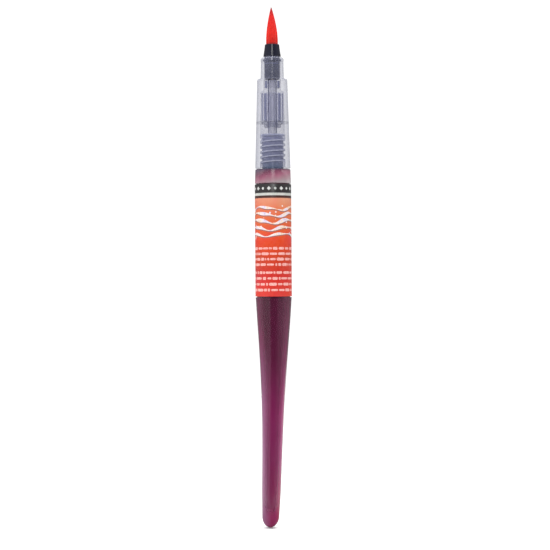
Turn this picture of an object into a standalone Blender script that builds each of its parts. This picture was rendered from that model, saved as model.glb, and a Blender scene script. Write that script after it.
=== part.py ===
"""Squeeze-barrel brush pen, modelled piece by piece and standing on its tail end.

Heights are metres above the tail end, radii are metres from the pen's axis. The pen
stands along +Z with the brush up. Turned pieces are outlines of (radius, height) points.
"""
import math

import bmesh
import bpy
from mathutils import Matrix, Vector

MM = 0.001
WELD = 1e-7

# driving dimensions of the whole pen
TOTAL_LENGTH = 162.5 * MM
BARREL_RADIUS = 5.63 * MM
GRIP_LOW_RADIUS = 5.5 * MM
GRIP_TOP_RADIUS = 4.7 * MM
NOZZLE_RADIUS = 3.62 * MM
PIECE_GAP = 0.3 * MM
SHELL_SEGMENTS = 32
INNER_SEGMENTS = 24
WICK_SEGMENTS = 12
SHARP_ANGLE = 35.0

# heights of the joints between the pieces
LABEL_LOW = 71.9 * MM
LABEL_HIGH = 107.4 * MM
PARTING = 112.0 * MM
NECK_TOP = 121.9 * MM
SLEEVE_TOP = 135.6 * MM
CAP_SEAT = 140.0 * MM
NOZZLE_TOP = 146.85 * MM
COLLAR_TOP = 150.8 * MM

# reservoir barrel
WALL = 0.8 * MM
SHOULDER_RADIUS = 5.5 * MM
LABEL_RECESS = 0.43 * MM
LABEL_THICKNESS = 0.2 * MM
TAIL_CAP_HEIGHT = 3.6 * MM
TAIL_CAP_RADIUS = 2.7 * MM
TAIL_STATIONS = (
    (TAIL_CAP_HEIGHT, TAIL_CAP_RADIUS),
    (11.0 * MM, 2.99 * MM),
    (22.0 * MM, 3.17 * MM),
    (34.0 * MM, 3.44 * MM),
    (46.0 * MM, 3.94 * MM),
    (56.0 * MM, 4.56 * MM),
    (65.0 * MM, 5.2 * MM),
    (LABEL_LOW, BARREL_RADIUS),
)
TAIL_BOW = 1.5 * MM
TAIL_BOW_POWER = 1.65
NECK_BORE_RADIUS = 2.6 * MM
CAVITY_RADIUS = 4.45 * MM
CAVITY_BOTTOM = 3.4 * MM
CAVITY_TOP = 109.6 * MM
INK_LEVEL = 107.1 * MM

# screw thread between the barrel's neck and the front section, right-handed
THREAD_PITCH = 1.6 * MM
THREAD_START = 113.1 * MM
MALE_ROOT_RADIUS = 3.25 * MM
MALE_CREST_RADIUS = 3.72 * MM
MALE_BASE_HALF = 0.44 * MM
MALE_CREST_HALF = 0.15 * MM
MALE_TURNS = 5.2
FEMALE_ROOT_RADIUS = 3.95 * MM
FEMALE_CREST_RADIUS = 3.45 * MM
FEMALE_BASE_HALF = 0.48 * MM
FEMALE_CREST_HALF = 0.3 * MM
FEMALE_TURNS = 4.6
STEPS_PER_TURN = 24
THREAD_OVERLAP = 0.12 * MM
RUN_OUT_STEPS = 3

# front section: outside details, then the bore
GRIP_CORNER = 0.5 * MM
NOZZLE_DRAFT = 0.08 * MM
BEAD_HEIGHT = 0.05 * MM
BEAD_RAMP = 0.3 * MM
RIM_RADIUS = 3.0 * MM
MOUTH_CHAMFER = 0.25 * MM
THREAD_RELIEF_LOW = NECK_TOP + 1.0 * MM
THREAD_RELIEF_HIGH = NECK_TOP + 1.1 * MM
BORE_TAPER_LOW = SLEEVE_TOP + 0.4 * MM
BORE_TAPER_HIGH = SLEEVE_TOP + 1.0 * MM
STEM_LEDGE = CAP_SEAT - 0.1 * MM
BORE_LOW_RADIUS = 3.85 * MM
BORE_RADIUS = 3.7 * MM
BORE_STEP = 128.9 * MM
BUSHING_BORE_RADIUS = 2.75 * MM
NOZZLE_BORE_RADIUS = 2.6 * MM
SNAP_GROOVE_RADIUS = 2.97 * MM
SNAP_GROOVE_LOW = 145.4 * MM
SNAP_GROOVE_HIGH = 146.3 * MM
SNAP_GAP = 0.2 * MM

# pieces inside the front section
SEAL_INNER_RADIUS = 1.7 * MM
SEAL_OUTER_RADIUS = 3.5 * MM
SEAL_THICKNESS = 0.6 * MM
BUSHING_RADIUS = 2.33 * MM
BUSHING_LOW = 137.3 * MM
BUSHING_HIGH = 139.4 * MM
TUBE_LOW = NECK_TOP + 0.5 * MM
TUBE_RADIUS = 1.35 * MM
TUBE_BORE_RADIUS = 0.8 * MM
WICK_LOW = NECK_TOP + 1.1 * MM
WICK_HIGH = CAP_SEAT + 2.4 * MM
WICK_RADIUS = 0.5 * MM
DISC_UNDERSIDE = 126.05 * MM
DISC_TOP = 126.75 * MM
DISC_BOSS_BOTTOM = 124.9 * MM
TUBE_CLEARANCE_RADIUS = 1.65 * MM
CORE_OUTER_RADIUS = 2.6 * MM
CORE_INNER_RADIUS = 1.9 * MM
CUP_OUTER_RADIUS = 3.4 * MM
CUP_INNER_RADIUS = 3.1 * MM

# collar and brush
STEM_RADIUS = 2.4 * MM
COLLAR_FLARE_RADIUS = 2.75 * MM
COLLAR_MOUTH_RADIUS = 2.25 * MM
COLLAR_FLARE_POWER = 1.2
COLLAR_BORE_RADIUS = 1.8 * MM
ROOT_RADIUS = 1.5 * MM
BEND_PIVOT = 151.2 * MM
DOME_RADIUS = 1.7 * MM
SOCKET_RADIUS = 2.0 * MM
TUFT_BASE_RADIUS = 1.84 * MM
TUFT_TIP_RADIUS = 0.09 * MM
TUFT_FULLNESS = 1.75
TUFT_LEAN = 0.2 * MM


# ---------------------------------------------------------------- materials


def plastic(name, colour, roughness, transmission=0.0):
    """A Principled plastic, clear when its transmission is raised."""
    material = bpy.data.materials.new(name)
    material.use_nodes = True
    shader = material.node_tree.nodes["Principled BSDF"]
    shader.inputs["Base Color"].default_value = (*colour, 1.0)
    shader.inputs["Roughness"].default_value = roughness
    shader.inputs["Metallic"].default_value = 0.0
    shader.inputs["Transmission Weight"].default_value = transmission
    material.diffuse_color = (*colour, 1.0)
    return material


# ---------------------------------------------------------------- helpers


def joint_empty(name, height, parent=None):
    """An empty on the pen's axis that marks where a moving body turns or slides."""
    empty = bpy.data.objects.new(name, None)
    empty.empty_display_size = 4.0 * MM
    bpy.context.scene.collection.objects.link(empty)
    base = 0.0
    if parent is not None:
        empty.parent = parent
        base = parent["height"]
    empty.location = (0.0, 0.0, height - base)
    empty["height"] = height
    return empty


def finish_piece(name, mesh_data, material, parent=None):
    """Store a bmesh as a named object whose origin is its joint's point on the axis."""
    if parent is not None:
        bmesh.ops.translate(mesh_data, vec=(0.0, 0.0, -parent["height"]), verts=mesh_data.verts)
    mesh = bpy.data.meshes.new(name)
    mesh_data.to_mesh(mesh)
    mesh_data.free()
    mesh.shade_smooth()
    mesh.set_sharp_from_angle(angle=math.radians(SHARP_ANGLE))
    mesh.materials.append(material)
    piece = bpy.data.objects.new(name, mesh)
    bpy.context.scene.collection.objects.link(piece)
    piece.parent = parent
    return piece


def turn_outline(outline, segments, closed):
    """Spin an outline of (radius, height) points about Z into a closed surface.

    A closed outline makes a ring. An open one starts and ends on the axis.
    """
    turned = bmesh.new()
    verts = [turned.verts.new((radius, 0.0, height)) for radius, height in outline]
    edges = [turned.edges.new(pair) for pair in zip(verts, verts[1:])]
    if closed:
        edges.append(turned.edges.new((verts[-1], verts[0])))
    bmesh.ops.spin(
        turned,
        geom=verts + edges,
        cent=(0.0, 0.0, 0.0),
        axis=(0.0, 0.0, 1.0),
        angle=math.tau,
        steps=segments,
        use_merge=True,
    )
    bmesh.ops.remove_doubles(turned, verts=turned.verts, dist=WELD)
    bmesh.ops.recalc_face_normals(turned, faces=turned.faces)
    return turned


def sleeve_outline(inner_radius, outer_radius, low, high):
    """The outline of a plain sleeve or washer."""
    return [
        (outer_radius, low),
        (outer_radius, high),
        (inner_radius, high),
        (inner_radius, low),
    ]


def arc(centre, radii, start_deg, end_deg, steps):
    """Points on an elliptical arc in the outline's plane, with both ends included."""
    points = []
    for step in range(steps + 1):
        angle = math.radians(start_deg + (end_deg - start_deg) * step / steps)
        radius = centre[0] + radii[0] * math.cos(angle)
        points.append((radius, centre[1] + radii[1] * math.sin(angle)))
    return points


def smooth_through(stations, height):
    """The radius at a height on a smooth curve through (height, radius) stations."""
    last = len(stations) - 2
    index = max(i for i in range(last + 1) if i == 0 or stations[i][0] <= height)
    low, high = stations[index], stations[index + 1]
    before = stations[max(index - 1, 0)]
    after = stations[min(index + 2, last + 1)]
    span = high[0] - low[0]
    slope_low = (high[1] - before[1]) / (high[0] - before[0])
    slope_high = (after[1] - low[1]) / (after[0] - low[0])
    t = (height - low[0]) / span
    return (
        (2 * t**3 - 3 * t**2 + 1) * low[1]
        + (t**3 - 2 * t**2 + t) * span * slope_low
        + (3 * t**2 - 2 * t**3) * high[1]
        + (t**3 - t**2) * span * slope_high
    )


def bow_tail(turned):
    """Shift the tail sideways along a soft curve that grows towards its end."""
    for vert in turned.verts:
        reach = max(0.0, (LABEL_LOW - vert.co.z) / LABEL_LOW)
        vert.co.x -= TAIL_BOW * reach**TAIL_BOW_POWER


def thread_ridge(name, base, crest, turns, start):
    """A closed helical ridge. base and crest are (radius, half width) of its flanks.

    The ridge fades out over its first and last steps, as a moulded thread does.
    """
    ridge = bmesh.new()
    steps = round(turns * STEPS_PER_TURN)
    rings = []
    for step in range(steps + 1):
        angle = math.tau * step / STEPS_PER_TURN
        middle = start + THREAD_PITCH * step / STEPS_PER_TURN
        height = min(1.0, (min(step, steps - step) + 0.5) / RUN_OUT_STEPS)
        tip_radius = base[0] + (crest[0] - base[0]) * height
        tip_half = base[1] + (crest[1] - base[1]) * height
        section = (
            (base[0], -base[1]),
            (tip_radius, -tip_half),
            (tip_radius, tip_half),
            (base[0], base[1]),
        )
        turn = Matrix.Rotation(angle, 3, "Z")
        ring = [ridge.verts.new(turn @ Vector((r, 0.0, middle + z))) for r, z in section]
        rings.append(ring)
    for ring, after in zip(rings, rings[1:]):
        for side in range(4):
            other = (side + 1) % 4
            ridge.faces.new((ring[side], ring[other], after[other], after[side]))
    ridge.faces.new(rings[0])
    ridge.faces.new(rings[-1])
    bmesh.ops.recalc_face_normals(ridge, faces=ridge.faces)
    mesh = bpy.data.meshes.new(name)
    ridge.to_mesh(mesh)
    ridge.free()
    guide = bpy.data.objects.new(name, mesh)
    bpy.context.scene.collection.objects.link(guide)
    guide.hide_render = True
    guide.display_type = "WIRE"
    return guide


def join_ridge(piece, ridge):
    """Make a thread ridge one body with the piece that carries it."""
    union = piece.modifiers.new("thread", "BOOLEAN")
    union.operation = "UNION"
    union.solver = "EXACT"
    union.object = ridge


# ---------------------------------------------------------------- barrel


def outer_tail_outline():
    """The barrel's outside, from the middle of its rounded end up to the label."""
    centre = (0.0, TAIL_CAP_HEIGHT)
    outline = arc(centre, (TAIL_CAP_RADIUS, TAIL_CAP_HEIGHT), -90.0, 0.0, 5)
    rows = 13
    for row in range(1, rows + 1):
        height = TAIL_CAP_HEIGHT + (LABEL_LOW - TAIL_CAP_HEIGHT) * row / rows
        outline.append((smooth_through(TAIL_STATIONS, height), height))
    return outline


def cavity_outline(inset, low, high):
    """The reservoir's inside from low to high, made smaller all round by inset."""
    dome_height = 2.4 * MM
    dome_top = low + dome_height
    dome_radius = smooth_through(TAIL_STATIONS, dome_top) - WALL - inset
    outline = arc((0.0, dome_top), (dome_radius, dome_height), -90.0, 0.0, 3)
    rows = 9
    taper_top = LABEL_LOW - 1.5 * MM
    for row in range(1, rows + 1):
        height = dome_top + (taper_top - dome_top) * row / rows
        radius = min(CAVITY_RADIUS, smooth_through(TAIL_STATIONS, height) - WALL)
        outline.append((radius - inset, height))
    outline.append((CAVITY_RADIUS - inset, high))
    return outline


def reservoir_barrel(material):
    """Squeezable barrel with its tapered tail, label recess and threaded neck."""
    edge = 0.25 * MM
    shoulder = PARTING - PIECE_GAP / 2
    recess_radius = BARREL_RADIUS - LABEL_RECESS
    neck_bore_low = 111.3 * MM
    outside = outer_tail_outline() + [
        (recess_radius, LABEL_LOW),
        (recess_radius, LABEL_HIGH),
        (BARREL_RADIUS, LABEL_HIGH),
        (SHOULDER_RADIUS, shoulder - edge),
        (SHOULDER_RADIUS - edge, shoulder),
        (MALE_ROOT_RADIUS, shoulder),
        (MALE_ROOT_RADIUS, NECK_TOP - edge),
        (MALE_ROOT_RADIUS - edge, NECK_TOP),
        (NECK_BORE_RADIUS, NECK_TOP),
        (NECK_BORE_RADIUS, neck_bore_low),
    ]
    inside = cavity_outline(0.0, CAVITY_BOTTOM, CAVITY_TOP)
    turned = turn_outline(outside + inside[::-1], SHELL_SEGMENTS, closed=False)
    bow_tail(turned)
    barrel = finish_piece("reservoir_barrel", turned, material)
    base = (MALE_ROOT_RADIUS - THREAD_OVERLAP, MALE_BASE_HALF)
    crest = (MALE_CREST_RADIUS, MALE_CREST_HALF)
    join_ridge(barrel, thread_ridge("male_ridge", base, crest, MALE_TURNS, THREAD_START))


def ink_fill(material):
    """The ink in the barrel, as the solid shape that it fills."""
    outline = cavity_outline(PIECE_GAP, CAVITY_BOTTOM + PIECE_GAP, INK_LEVEL)
    outline.append((0.0, INK_LEVEL))
    turned = turn_outline(outline, INNER_SEGMENTS, closed=False)
    bow_tail(turned)
    finish_piece("ink_fill", turned, material)


def label_film(material):
    """The printed film wrapped round the barrel, in its shallow recess."""
    inner = BARREL_RADIUS - LABEL_RECESS + PIECE_GAP
    outer = inner + LABEL_THICKNESS
    outline = sleeve_outline(inner, outer, LABEL_LOW + PIECE_GAP, LABEL_HIGH - PIECE_GAP)
    finish_piece("label_film", turn_outline(outline, SHELL_SEGMENTS, closed=True), material)


def mouth_plug(material):
    """The stopper in the barrel's neck, whose small hole meters the ink."""
    low = 118.4 * MM
    flange_radius = NECK_BORE_RADIUS - PIECE_GAP
    hole_radius = 0.5 * MM
    taper = 0.3 * MM
    outline = [
        (flange_radius - taper, low),
        (flange_radius, low + 2 * taper),
        (flange_radius, NECK_TOP - taper),
        (hole_radius, NECK_TOP - taper),
        (hole_radius, low),
    ]
    finish_piece("mouth_plug", turn_outline(outline, INNER_SEGMENTS, closed=True), material)


# ---------------------------------------------------------------- front section


def neck_seal(material, lift):
    """The soft washer that the front section presses onto the barrel's neck."""
    low = NECK_TOP + PIECE_GAP
    high = low + SEAL_THICKNESS
    outline = sleeve_outline(SEAL_INNER_RADIUS, SEAL_OUTER_RADIUS, low, high)
    turned = turn_outline(outline, INNER_SEGMENTS, closed=True)
    finish_piece("neck_seal", turned, material, lift)


def front_section(material, section):
    """The clear grip and nozzle, with the bore that holds the feed."""
    corner_low = CAP_SEAT - GRIP_CORNER
    seat_radius = GRIP_TOP_RADIUS - GRIP_CORNER
    low = PARTING + PIECE_GAP / 2
    nozzle_end_radius = NOZZLE_RADIUS - NOZZLE_DRAFT
    bead_radius = nozzle_end_radius + BEAD_HEIGHT
    outside = [
        (GRIP_LOW_RADIUS, low),
        (GRIP_TOP_RADIUS, corner_low),
        *arc((seat_radius, corner_low), (GRIP_CORNER, GRIP_CORNER), 30.0, 90.0, 2),
        (NOZZLE_RADIUS, CAP_SEAT),
        (nozzle_end_radius, SNAP_GROOVE_LOW),
        (bead_radius, SNAP_GROOVE_LOW + BEAD_RAMP),
        (bead_radius, SNAP_GROOVE_HIGH),
        (RIM_RADIUS, NOZZLE_TOP),
    ]
    inside = [
        (NOZZLE_BORE_RADIUS, NOZZLE_TOP),
        (NOZZLE_BORE_RADIUS, SNAP_GROOVE_HIGH),
        (SNAP_GROOVE_RADIUS, SNAP_GROOVE_HIGH),
        (SNAP_GROOVE_RADIUS, SNAP_GROOVE_LOW),
        (NOZZLE_BORE_RADIUS, SNAP_GROOVE_LOW),
        (NOZZLE_BORE_RADIUS, STEM_LEDGE),
        (BUSHING_BORE_RADIUS, STEM_LEDGE),
        (BUSHING_BORE_RADIUS, BORE_TAPER_HIGH),
        (BORE_RADIUS, BORE_TAPER_LOW),
        (BORE_RADIUS, BORE_STEP),
        (BORE_LOW_RADIUS, BORE_STEP),
        (BORE_LOW_RADIUS, THREAD_RELIEF_HIGH),
        (FEMALE_ROOT_RADIUS, THREAD_RELIEF_LOW),
        (FEMALE_ROOT_RADIUS, low + MOUTH_CHAMFER),
        (FEMALE_ROOT_RADIUS + MOUTH_CHAMFER, low),
    ]
    turned = turn_outline(outside + inside, SHELL_SEGMENTS, closed=True)
    piece = finish_piece("front_section", turned, material, section)
    base = (FEMALE_ROOT_RADIUS + THREAD_OVERLAP, FEMALE_BASE_HALF)
    crest = (FEMALE_CREST_RADIUS, FEMALE_CREST_HALF)
    start = THREAD_START + THREAD_PITCH / 2
    join_ridge(piece, thread_ridge("female_ridge", base, crest, FEMALE_TURNS, start))


def regulator_cup(material, section):
    """The thin outer sleeve of the flow regulator."""
    low = DISC_TOP + PIECE_GAP
    outline = sleeve_outline(CUP_INNER_RADIUS, CUP_OUTER_RADIUS, low, SLEEVE_TOP)
    turned = turn_outline(outline, INNER_SEGMENTS, closed=True)
    finish_piece("regulator_cup", turned, material, section)


def regulator_core(material, section):
    """The thick inner sleeve of the flow regulator."""
    low = DISC_TOP + PIECE_GAP
    outline = sleeve_outline(CORE_INNER_RADIUS, CORE_OUTER_RADIUS, low, SLEEVE_TOP)
    turned = turn_outline(outline, INNER_SEGMENTS, closed=True)
    finish_piece("regulator_core", turned, material, section)


def stop_disc(material, section):
    """The disc across the bore that carries the regulator, with a boss below it."""
    outline = [
        (CORE_OUTER_RADIUS, DISC_BOSS_BOTTOM),
        (CORE_OUTER_RADIUS, DISC_UNDERSIDE),
        (CUP_OUTER_RADIUS, DISC_UNDERSIDE),
        (CUP_OUTER_RADIUS, DISC_TOP),
        (TUBE_CLEARANCE_RADIUS, DISC_TOP),
        (TUBE_CLEARANCE_RADIUS, DISC_UNDERSIDE),
        (CORE_INNER_RADIUS, DISC_UNDERSIDE),
        (CORE_INNER_RADIUS, DISC_BOSS_BOTTOM),
    ]
    turned = turn_outline(outline, INNER_SEGMENTS, closed=True)
    finish_piece("stop_disc", turned, material, section)


def tube_bushing(material, section):
    """The short sleeve that centres the feed tube under the collar's stem."""
    outline = sleeve_outline(TUBE_CLEARANCE_RADIUS, BUSHING_RADIUS, BUSHING_LOW, BUSHING_HIGH)
    turned = turn_outline(outline, INNER_SEGMENTS, closed=True)
    finish_piece("tube_bushing", turned, material, section)


def feed_tube(material, section):
    """The long tube that brings ink from the neck up to the brush."""
    high = CAP_SEAT - PIECE_GAP
    outline = sleeve_outline(TUBE_BORE_RADIUS, TUBE_RADIUS, TUBE_LOW, high)
    turned = turn_outline(outline, INNER_SEGMENTS, closed=True)
    finish_piece("feed_tube", turned, material, section)


def feed_wick(material, section):
    """The fibre wick in the tube, which reaches into the collar under the brush root."""
    outline = [
        (0.0, WICK_LOW),
        (WICK_RADIUS, WICK_LOW),
        (WICK_RADIUS, WICK_HIGH),
        (0.0, WICK_HIGH),
    ]
    turned = turn_outline(outline, WICK_SEGMENTS, closed=False)
    finish_piece("feed_wick", turned, material, section)


# ---------------------------------------------------------------- brush


def tuft_collar(material, section):
    """The black cone that grips the brush. Its stem has a ring that snaps into the nozzle."""
    flare_low = NOZZLE_TOP + PIECE_GAP
    rows = 5
    mouth_depth = 0.8 * MM
    mouth_lip = 0.3 * MM
    stem_bore_radius = 1.75 * MM
    ring_radius = SNAP_GROOVE_RADIUS - SNAP_GAP
    outline = [
        (STEM_RADIUS, CAP_SEAT),
        (STEM_RADIUS, SNAP_GROOVE_LOW + SNAP_GAP),
        (ring_radius, SNAP_GROOVE_LOW + SNAP_GAP),
        (ring_radius, SNAP_GROOVE_HIGH - SNAP_GAP),
        (STEM_RADIUS, SNAP_GROOVE_HIGH - SNAP_GAP),
        (STEM_RADIUS, flare_low),
    ]
    for row in range(rows + 1):
        rise = row / rows
        spread = (COLLAR_FLARE_RADIUS - COLLAR_MOUTH_RADIUS) * (1.0 - rise) ** COLLAR_FLARE_POWER
        height = flare_low + (COLLAR_TOP - flare_low) * rise
        outline.append((COLLAR_MOUTH_RADIUS + spread, height))
    outline += [
        (COLLAR_MOUTH_RADIUS - mouth_lip, COLLAR_TOP),
        (COLLAR_BORE_RADIUS, COLLAR_TOP - mouth_depth),
        (stem_bore_radius, CAP_SEAT),
    ]
    turned = turn_outline(outline, INNER_SEGMENTS, closed=True)
    finish_piece("tuft_collar", turned, material, section)


def tuft_root(material, section):
    """The fused plug at the brush's root, with a domed top that the tuft bends over."""
    low = WICK_HIGH + PIECE_GAP
    meet = math.degrees(math.acos(ROOT_RADIUS / DOME_RADIUS))
    outline = [(0.0, low), (ROOT_RADIUS, low)]
    outline += arc((0.0, BEND_PIVOT), (DOME_RADIUS, DOME_RADIUS), -meet, 90.0, 8)
    turned = turn_outline(outline, INNER_SEGMENTS, closed=False)
    finish_piece("tuft_root", turned, material, section)


def bristle_tuft(material, bend):
    """The pointed tuft of filaments, hollowed below to sit over the root's dome."""
    rows = 9
    meet = math.degrees(math.acos(TUFT_BASE_RADIUS / SOCKET_RADIUS))
    outline = arc((0.0, BEND_PIVOT), (SOCKET_RADIUS, SOCKET_RADIUS), 90.0, meet, 5)
    base = outline[-1][1]
    for row in range(1, rows + 1):
        rise = row / rows
        radius = TUFT_TIP_RADIUS + (TUFT_BASE_RADIUS - TUFT_TIP_RADIUS) * (1.0 - rise**TUFT_FULLNESS)
        outline.append((radius, base + (TOTAL_LENGTH - base) * rise))
    outline.append((0.0, TOTAL_LENGTH))
    turned = turn_outline(outline, INNER_SEGMENTS, closed=False)
    for vert in turned.verts:
        rise = max(0.0, (vert.co.z - base) / (TOTAL_LENGTH - base))
        vert.co.x -= TUFT_LEAN * rise**2
    finish_piece("bristle_tuft", turned, material, bend)


# ---------------------------------------------------------------- assembly


def build():
    for old in list(bpy.data.objects):
        bpy.data.objects.remove(old)

    # joint axes: the section lifts and turns on its thread, the tuft bends at its root
    lift = joint_empty("section_lift_axis", PARTING)
    section = joint_empty("section_turn_axis", PARTING, lift)
    bend = joint_empty("tuft_bend_axis", BEND_PIVOT, section)

    wine_barrel = plastic("wine_translucent", (0.20, 0.025, 0.075), 0.28)
    ink = plastic("ink", (0.30, 0.012, 0.06), 0.1)
    label = plastic("label_print", (0.76, 0.16, 0.05), 0.45)
    clear = plastic("clear_plastic", (0.62, 0.63, 0.68), 0.2, 0.3)
    frosted = plastic("frosted_plastic", (0.34, 0.35, 0.48), 0.4)
    black = plastic("black_plastic", (0.012, 0.012, 0.02), 0.22)
    fibre = plastic("wick_fibre", (0.65, 0.25, 0.25), 0.85)
    rubber = plastic("seal_rubber", (0.55, 0.56, 0.6), 0.6)
    filament = plastic("red_filament", (0.80, 0.035, 0.025), 0.5)
    fused = plastic("fused_filament", (0.45, 0.02, 0.03), 0.55)

    reservoir_barrel(wine_barrel)
    ink_fill(ink)
    label_film(label)
    mouth_plug(frosted)
    neck_seal(rubber, lift)
    front_section(clear, section)
    regulator_cup(frosted, section)
    regulator_core(frosted, section)
    stop_disc(frosted, section)
    tube_bushing(frosted, section)
    feed_tube(frosted, section)
    feed_wick(fibre, section)
    tuft_collar(black, section)
    tuft_root(fused, section)
    bristle_tuft(filament, bend)


build()
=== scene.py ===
"""Squeeze-barrel brush pen: its finished surfaces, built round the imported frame.

Lengths are millimetres above the tail end and from the pen's axis. Mesh code turns them
into metres once, where vertices are made. Heights and radii come from the frame where a
CAD node has them, and the rest are the named values below.
"""
import math
import random

import bmesh
import bpy
import numpy as np
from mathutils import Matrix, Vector


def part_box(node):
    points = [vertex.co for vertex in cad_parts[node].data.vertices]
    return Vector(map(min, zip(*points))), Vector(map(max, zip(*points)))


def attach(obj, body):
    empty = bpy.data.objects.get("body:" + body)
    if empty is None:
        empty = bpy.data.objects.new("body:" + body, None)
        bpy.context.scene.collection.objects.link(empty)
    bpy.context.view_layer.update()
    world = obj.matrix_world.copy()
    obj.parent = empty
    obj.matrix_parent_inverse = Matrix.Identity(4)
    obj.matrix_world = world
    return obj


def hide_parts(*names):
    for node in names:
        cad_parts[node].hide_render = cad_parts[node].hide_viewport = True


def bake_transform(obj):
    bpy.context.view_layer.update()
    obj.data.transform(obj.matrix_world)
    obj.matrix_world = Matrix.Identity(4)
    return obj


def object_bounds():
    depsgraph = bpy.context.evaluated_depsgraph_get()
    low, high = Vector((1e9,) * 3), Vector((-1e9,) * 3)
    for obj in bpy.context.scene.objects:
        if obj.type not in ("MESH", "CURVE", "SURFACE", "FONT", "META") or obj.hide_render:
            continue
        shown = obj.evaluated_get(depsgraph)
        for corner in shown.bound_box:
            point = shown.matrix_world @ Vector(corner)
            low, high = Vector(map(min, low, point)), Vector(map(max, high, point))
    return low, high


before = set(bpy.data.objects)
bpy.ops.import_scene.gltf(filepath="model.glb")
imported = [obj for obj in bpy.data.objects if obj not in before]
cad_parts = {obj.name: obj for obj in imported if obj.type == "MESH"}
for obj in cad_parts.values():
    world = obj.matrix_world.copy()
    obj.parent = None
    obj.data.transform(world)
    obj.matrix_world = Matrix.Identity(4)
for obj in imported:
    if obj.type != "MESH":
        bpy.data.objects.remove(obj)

MM = 0.001
GAP = 0.3
SEGMENTS = 96
SHARP_ANGLE = 32.0
RELIEF_DEPTH = 0.05
SKIN_BLUR = 0.03
cad_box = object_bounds()


def heights(node):
    """Lowest and highest point of a CAD node."""
    low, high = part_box(node)
    return low.z / MM, high.z / MM


def reach(node):
    """Largest distance of a CAD node from the pen's axis, on its straight side."""
    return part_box(node)[1].x / MM


# heights and radii from the frame
LABEL_LOW, LABEL_HIGH = heights("label_film")
LABEL_RADIUS = reach("label_film")
BARREL_RADIUS = reach("reservoir_barrel")
SECTION_LOW, NOZZLE_TOP = heights("front_section")
SECTION_RADIUS = reach("front_section")
CAP_SEAT, COLLAR_TOP = heights("tuft_collar")
NECK_TOP = heights("reservoir_barrel")[1]
TIP = heights("bristle_tuft")[1]
ROOT_LOW = heights("tuft_root")[0]
CAVITY_RADIUS = reach("ink_fill") + GAP
CAVITY_LOW = heights("ink_fill")[0] - GAP
INK_LEVEL = heights("ink_fill")[1]

# barrel
WALL = 0.8
TAIL_TOP = LABEL_LOW - GAP
RECESS = 0.43
TAIL_CAP = (2.7, 3.6)
TAIL_STATIONS = (
    (3.6, 2.7), (11.0, 2.99), (22.0, 3.17), (34.0, 3.44),
    (46.0, 3.94), (56.0, 4.56), (65.0, 5.2), (TAIL_TOP, BARREL_RADIUS),
)
TAIL_BOW = 1.5
TAIL_BOW_POWER = 1.65
SHOULDER_RADIUS = 5.5
SHOULDER = SECTION_LOW - GAP
CAVITY_CAP = 2.4
CAVITY_TAIL_TOP = TAIL_TOP - 1.5
CAVITY_TOP = 109.6
NECK_BORE = 2.6
NECK_BORE_LOW = 111.3

# screw thread, right-handed
PITCH = 1.6
THREAD_START = 113.1
MALE = {"root": 3.25, "crest": 3.72, "turns": 5.2, "start": THREAD_START, "half": 0.44, "flat": 0.15}
FEMALE = {
    "root": 3.95, "crest": 3.45, "turns": 4.6, "start": THREAD_START + PITCH / 2,
    "half": 0.48, "flat": 0.3,
}
THREAD_ROW = PITCH / 12

# front section
GRIP_TOP_RADIUS = 4.7
NOZZLE_RADIUS = 3.62
NOZZLE_END_RADIUS = 3.54
BEAD_RADIUS = 3.59
RIM_RADIUS = 3.0
GROOVE_LOW, GROOVE_HIGH = 145.4, 146.3
GROOVE_RADIUS = 2.97
NOZZLE_BORE = 2.6
BUSH_BORE = 2.75
CHAMBER_BORE = 3.7
CHAMBER_TOP = 136.0
SKIRT_BORE = 3.85
BORE_STEP = 128.9
DISC_HEIGHT = 126.4
TUBE_SKIN = 1.0

# collar
STEM_RADIUS = 2.4
STEM_RING_RADIUS = 2.77
STEM_RING_INSET = 0.2
FLARE_RADIUS = 2.75
MOUTH_RADIUS = 2.25
COLLAR_BORE = 1.99

# tuft
TUFT_FOOT = COLLAR_TOP - 0.9
TUFT_RADIUS = 1.84
TUFT_TIP_RADIUS = 0.09
TUFT_FULLNESS = 1.75
TUFT_LEAN = 0.2
TUFT_PINCH = COLLAR_TOP + 1.2
ROOT_FILAMENT_RADIUS = 1.8
ROOT_CORE_RADIUS = 1.78
CORE_INSET = 0.1
FILAMENTS = 300


# ---------------------------------------------------------------- outlines


def smooth_through(stations, height):
    """The radius at a height on a smooth curve through (height, radius) stations."""
    last = len(stations) - 2
    index = max(i for i in range(last + 1) if i == 0 or stations[i][0] <= height)
    low, high = stations[index], stations[index + 1]
    before = stations[max(index - 1, 0)]
    after = stations[min(index + 2, last + 1)]
    span = high[0] - low[0]
    slope_low = (high[1] - before[1]) / (high[0] - before[0])
    slope_high = (after[1] - low[1]) / (after[0] - low[0])
    t = (height - low[0]) / span
    return (
        (2 * t**3 - 3 * t**2 + 1) * low[1]
        + (t**3 - 2 * t**2 + t) * span * slope_low
        + (3 * t**2 - 2 * t**3) * high[1]
        + (t**3 - t**2) * span * slope_high
    )


def rounded(corners, steps=4):
    """A closed outline of (radius, height, fillet) corners, with each corner rounded."""
    points = []
    for index, (radius, height, fillet) in enumerate(corners):
        here = Vector((radius, height))
        if fillet == 0:
            points.append(here)
            continue
        back = Vector(corners[index - 1][:2]) - here
        on = Vector(corners[(index + 1) % len(corners)][:2]) - here
        start = here + back.normalized() * min(fillet, back.length * 0.45)
        end = here + on.normalized() * min(fillet, on.length * 0.45)
        for step in range(steps + 1):
            t = step / steps
            points.append(start * (1 - t) ** 2 + here * 2 * t * (1 - t) + end * t**2)
    return [tuple(point) for point in points]


def rows(radius, low, high, step):
    """Sharp corners up a straight wall, close enough together to carry a thread."""
    count = math.ceil(abs(high - low) / step)
    return [(radius, low + (high - low) * row / count, 0) for row in range(count + 1)]


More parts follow.
